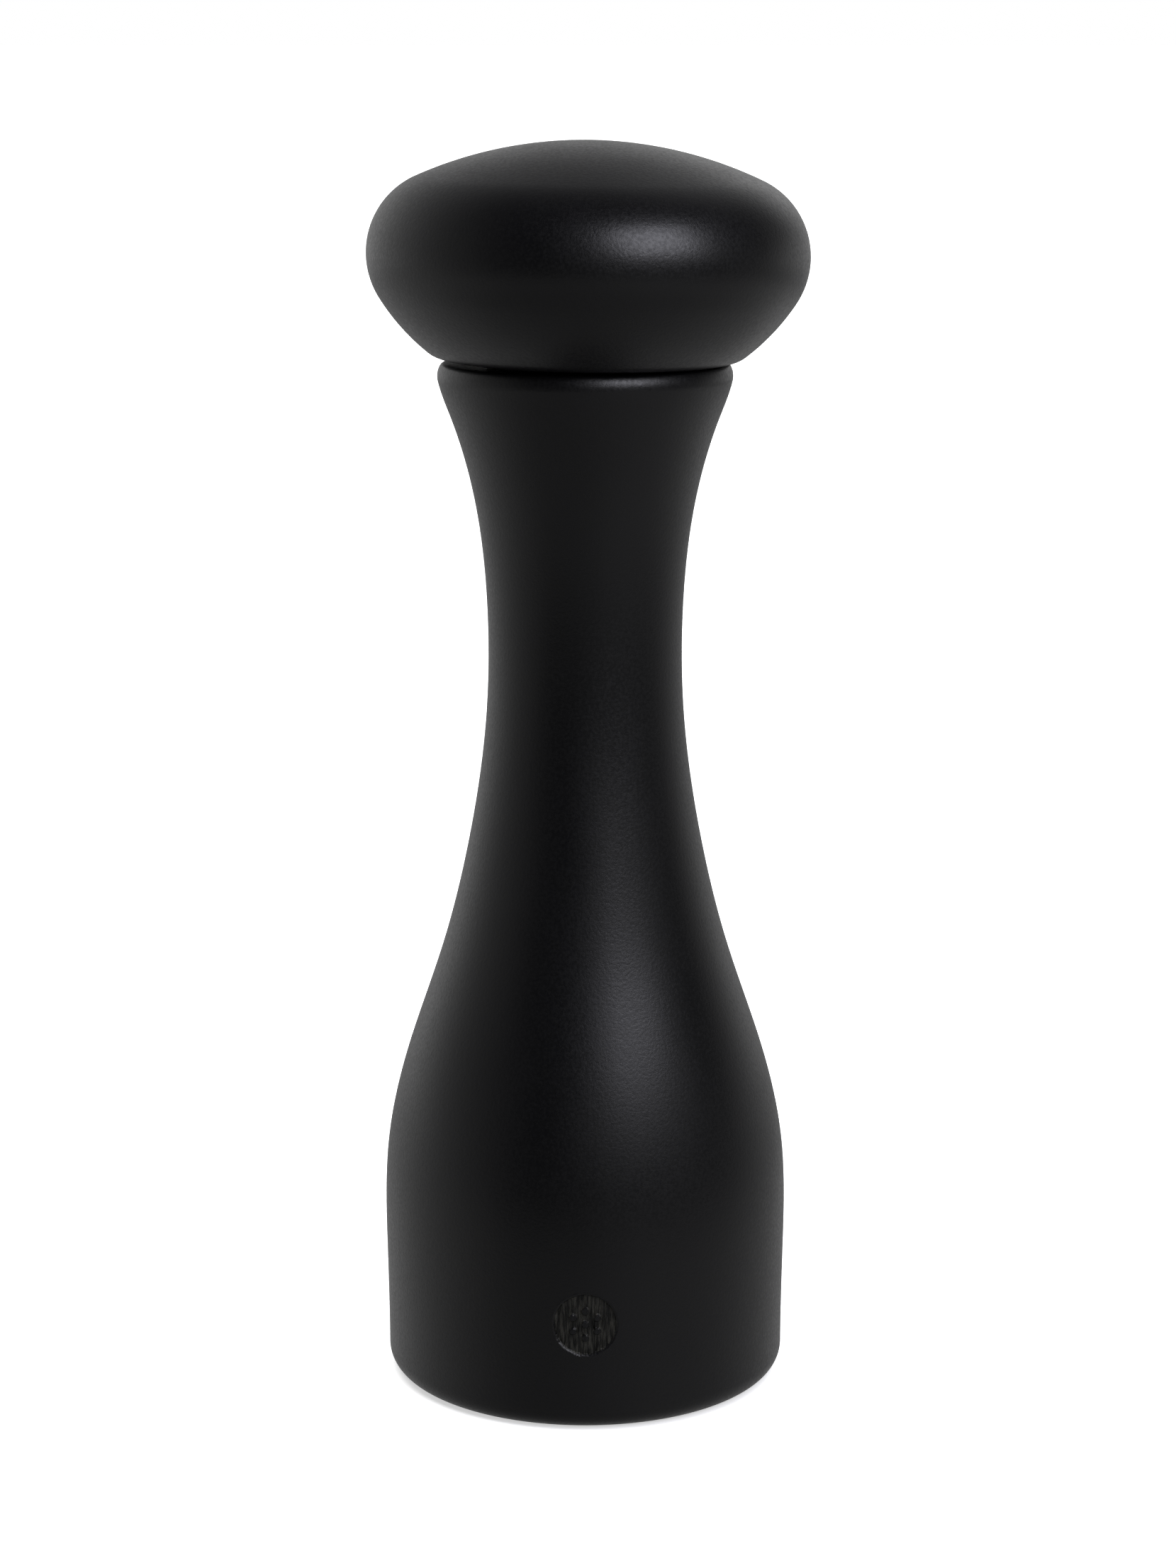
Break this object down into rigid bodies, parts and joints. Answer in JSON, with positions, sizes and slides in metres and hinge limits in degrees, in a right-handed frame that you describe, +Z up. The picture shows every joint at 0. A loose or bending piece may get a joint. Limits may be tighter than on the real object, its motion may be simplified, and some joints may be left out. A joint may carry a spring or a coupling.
{
  "type": "pepper mill",
  "caption": "Turned wooden pepper mill with a waisted barrel and a mushroom head that drives a ceramic grinder through a square shaft; a knob under the base sets the grind.",
  "frame": {"origin": "centre of the base, on the plane the mill stands on", "axes": "+Z up along the turning axis; -Y is the front, where the engraved roundel is"},
  "size_m": [0.0608, 0.0608, 0.1753],
  "materials": {
    "lacquered_wood": "satin black lacquer over close-grained beech",
    "housing_plastic": "fine spark-eroded moulding, black",
    "bridge_plastic": "moulded, dark grey",
    "knob_plastic": "moulded and fluted, black",
    "hub_plastic": "glass-filled moulding, black",
    "bush_plastic": "natural acetal",
    "socket_plastic": "moulded, black",
    "washer_plastic": "natural nylon",
    "grinder_ceramic": "fired, fine matt, off-white",
    "seal_rubber": "soft matt",
    "spring_steel": "drawn stainless wire and stamped clips",
    "pin_steel": "ground stainless",
    "stud_brass": "turned",
    "polished_steel": "polished bearing ball",
    "shaft_aluminium": "extruded square bar, clear anodised"
  },
  "bodies": {
    "barrel": {"barrel": "lacquered_wood", "mechanism_housing": "housing_plastic", "grinding_ring": "grinder_ceramic", "ring_gasket": "seal_rubber", "upper_bridge": "bridge_plastic", "lower_bridge": "bridge_plastic", "friction_washer": "washer_plastic", "knob_clip": "spring_steel"},
    "drive_shaft": {"drive_shaft": "shaft_aluminium", "shaft_bush": "bush_plastic", "shaft_pin": "pin_steel", "bush_clip": "spring_steel", "rotor_spring": "spring_steel"},
    "head": {"head": "lacquered_wood", "head_socket": "socket_plastic", "socket_grip_ring": "spring_steel", "head_o_ring": "seal_rubber"},
    "rotor": {"feed_hub": "hub_plastic", "grinding_cone": "grinder_ceramic", "cone_clip": "spring_steel", "spring_washer": "pin_steel"},
    "adjusting_knob": {"adjusting_knob": "knob_plastic"},
    "lift_stud": {"lift_stud": "stud_brass", "thrust_ball": "polished_steel"}
  },
  "joints": [
    {"name": "head_turn", "type": "hinge", "parent": "barrel", "child": "drive_shaft", "pos_m": [0, 0, 0.038], "axis": [0, 0, 1], "continuous": true},
    {"name": "head_lift", "type": "slide", "parent": "drive_shaft", "child": "head", "axis": [0, 0, 1], "range_m": [0, 0.045]},
    {"name": "grind_adjust", "type": "hinge", "parent": "barrel", "child": "adjusting_knob", "pos_m": [0, 0, 0.005], "axis": [0, 0, 1], "range_deg": [-198, 144]},
    {"name": "stud_lift", "type": "slide", "parent": "barrel", "child": "lift_stud", "axis": [0, 0, 1], "range_m": [-0.00112, 0.00082]},
    {"name": "rotor_lift", "type": "slide", "parent": "drive_shaft", "child": "rotor", "axis": [0, 0, 1], "range_m": [-0.00112, 0.00082], "deforming": ["rotor_spring"]}
  ],
  "couplings": [
    {"joint": "stud_lift", "follows": "grind_adjust", "m_per_rad": 0.00031831},
    {"joint": "rotor_lift", "follows": "grind_adjust", "m_per_rad": 0.00031831}
  ]
}
